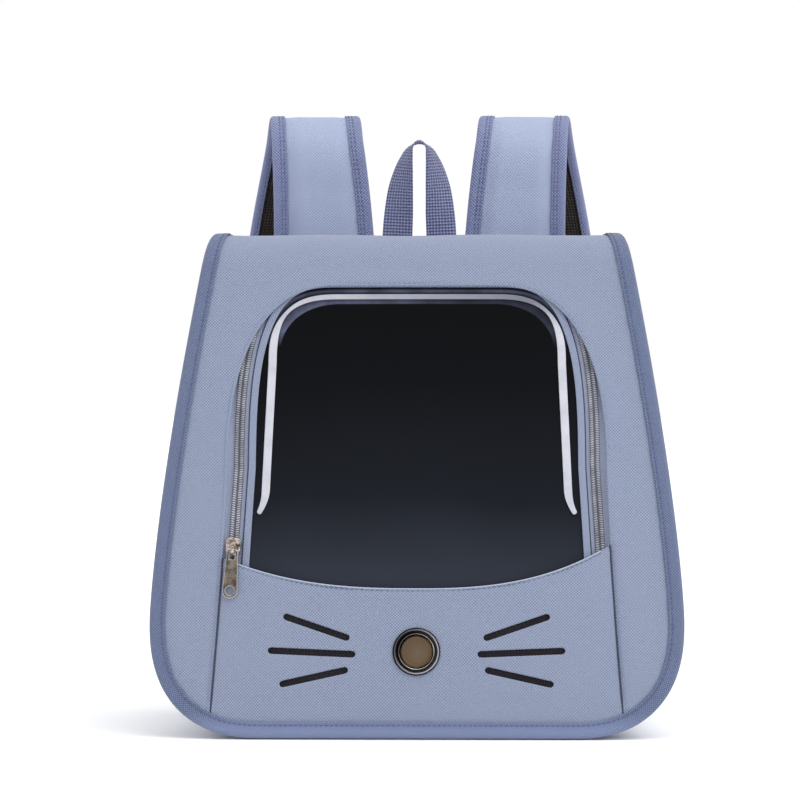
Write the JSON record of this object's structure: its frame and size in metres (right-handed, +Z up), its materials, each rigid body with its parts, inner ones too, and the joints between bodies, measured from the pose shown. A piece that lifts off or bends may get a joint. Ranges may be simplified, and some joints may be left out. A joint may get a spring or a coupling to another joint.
{
  "type": "pet carrier backpack",
  "caption": "Soft-sided backpack for a small pet, with a zipped clear window in a leaning front, padded shoulder straps and a webbing grab handle.",
  "frame": {"origin": "centre of the flat underside of the base, on the surface the bag stands on", "axes": "+Z up, -Y towards the front window, +X to the right as seen from the front"},
  "size_m": [0.41, 0.2801, 0.4988],
  "materials": {
    "cloth": "grey-blue oxford weave",
    "binding": "darker blue woven tape",
    "webbing": "ribbed webbing",
    "mesh": "dark open mesh",
    "film": "clear glossy film over a dark inside",
    "strip": "milky",
    "zip_tape": "fine woven tape",
    "zip_chain": "coil",
    "nickel": "warm nickel plate",
    "gunmetal": "black nickel plate",
    "bronze": "dark bronze plate",
    "plastic": "moulded"
  },
  "bodies": {
    "bag": {"front_frame_panel": "cloth", "lower_front_panel": "cloth", "front_binding": "binding", "nose_eyelet_ring": "gunmetal", "nose_eyelet_plate": "bronze", "whisker_mesh_left": "mesh", "whisker_mesh_right": "mesh", "zip_tape": "zip_tape", "zip_chain": "zip_chain", "window_border": "cloth", "window_film": "film", "window_edge_strip": "strip", "zip_slider": "nickel", "side_panel_left": "cloth", "base_panel": "cloth", "side_panel_right": "cloth", "back_panel": "cloth", "back_binding": "binding", "grab_handle": "webbing", "strap_pad_left": "cloth", "strap_mesh_left": "mesh", "strap_binding_inner_left": "binding", "strap_binding_outer_left": "binding", "strap_adjuster_left": "plastic", "strap_webbing_left": "webbing", "strap_pad_right": "cloth", "strap_mesh_right": "mesh", "strap_binding_inner_right": "binding", "strap_binding_outer_right": "binding", "strap_adjuster_right": "plastic", "strap_webbing_right": "webbing"},
    "pull": {"zip_pull": "nickel"}
  },
  "joints": [
    {"name": "zip_pull_swing", "type": "hinge", "parent": "bag", "child": "pull", "pos_m": [-0.14124, -0.09116, 0.1418], "axis": [-0.9963, 0.0748, 0.0429], "range_deg": [0, 150]}
  ]
}
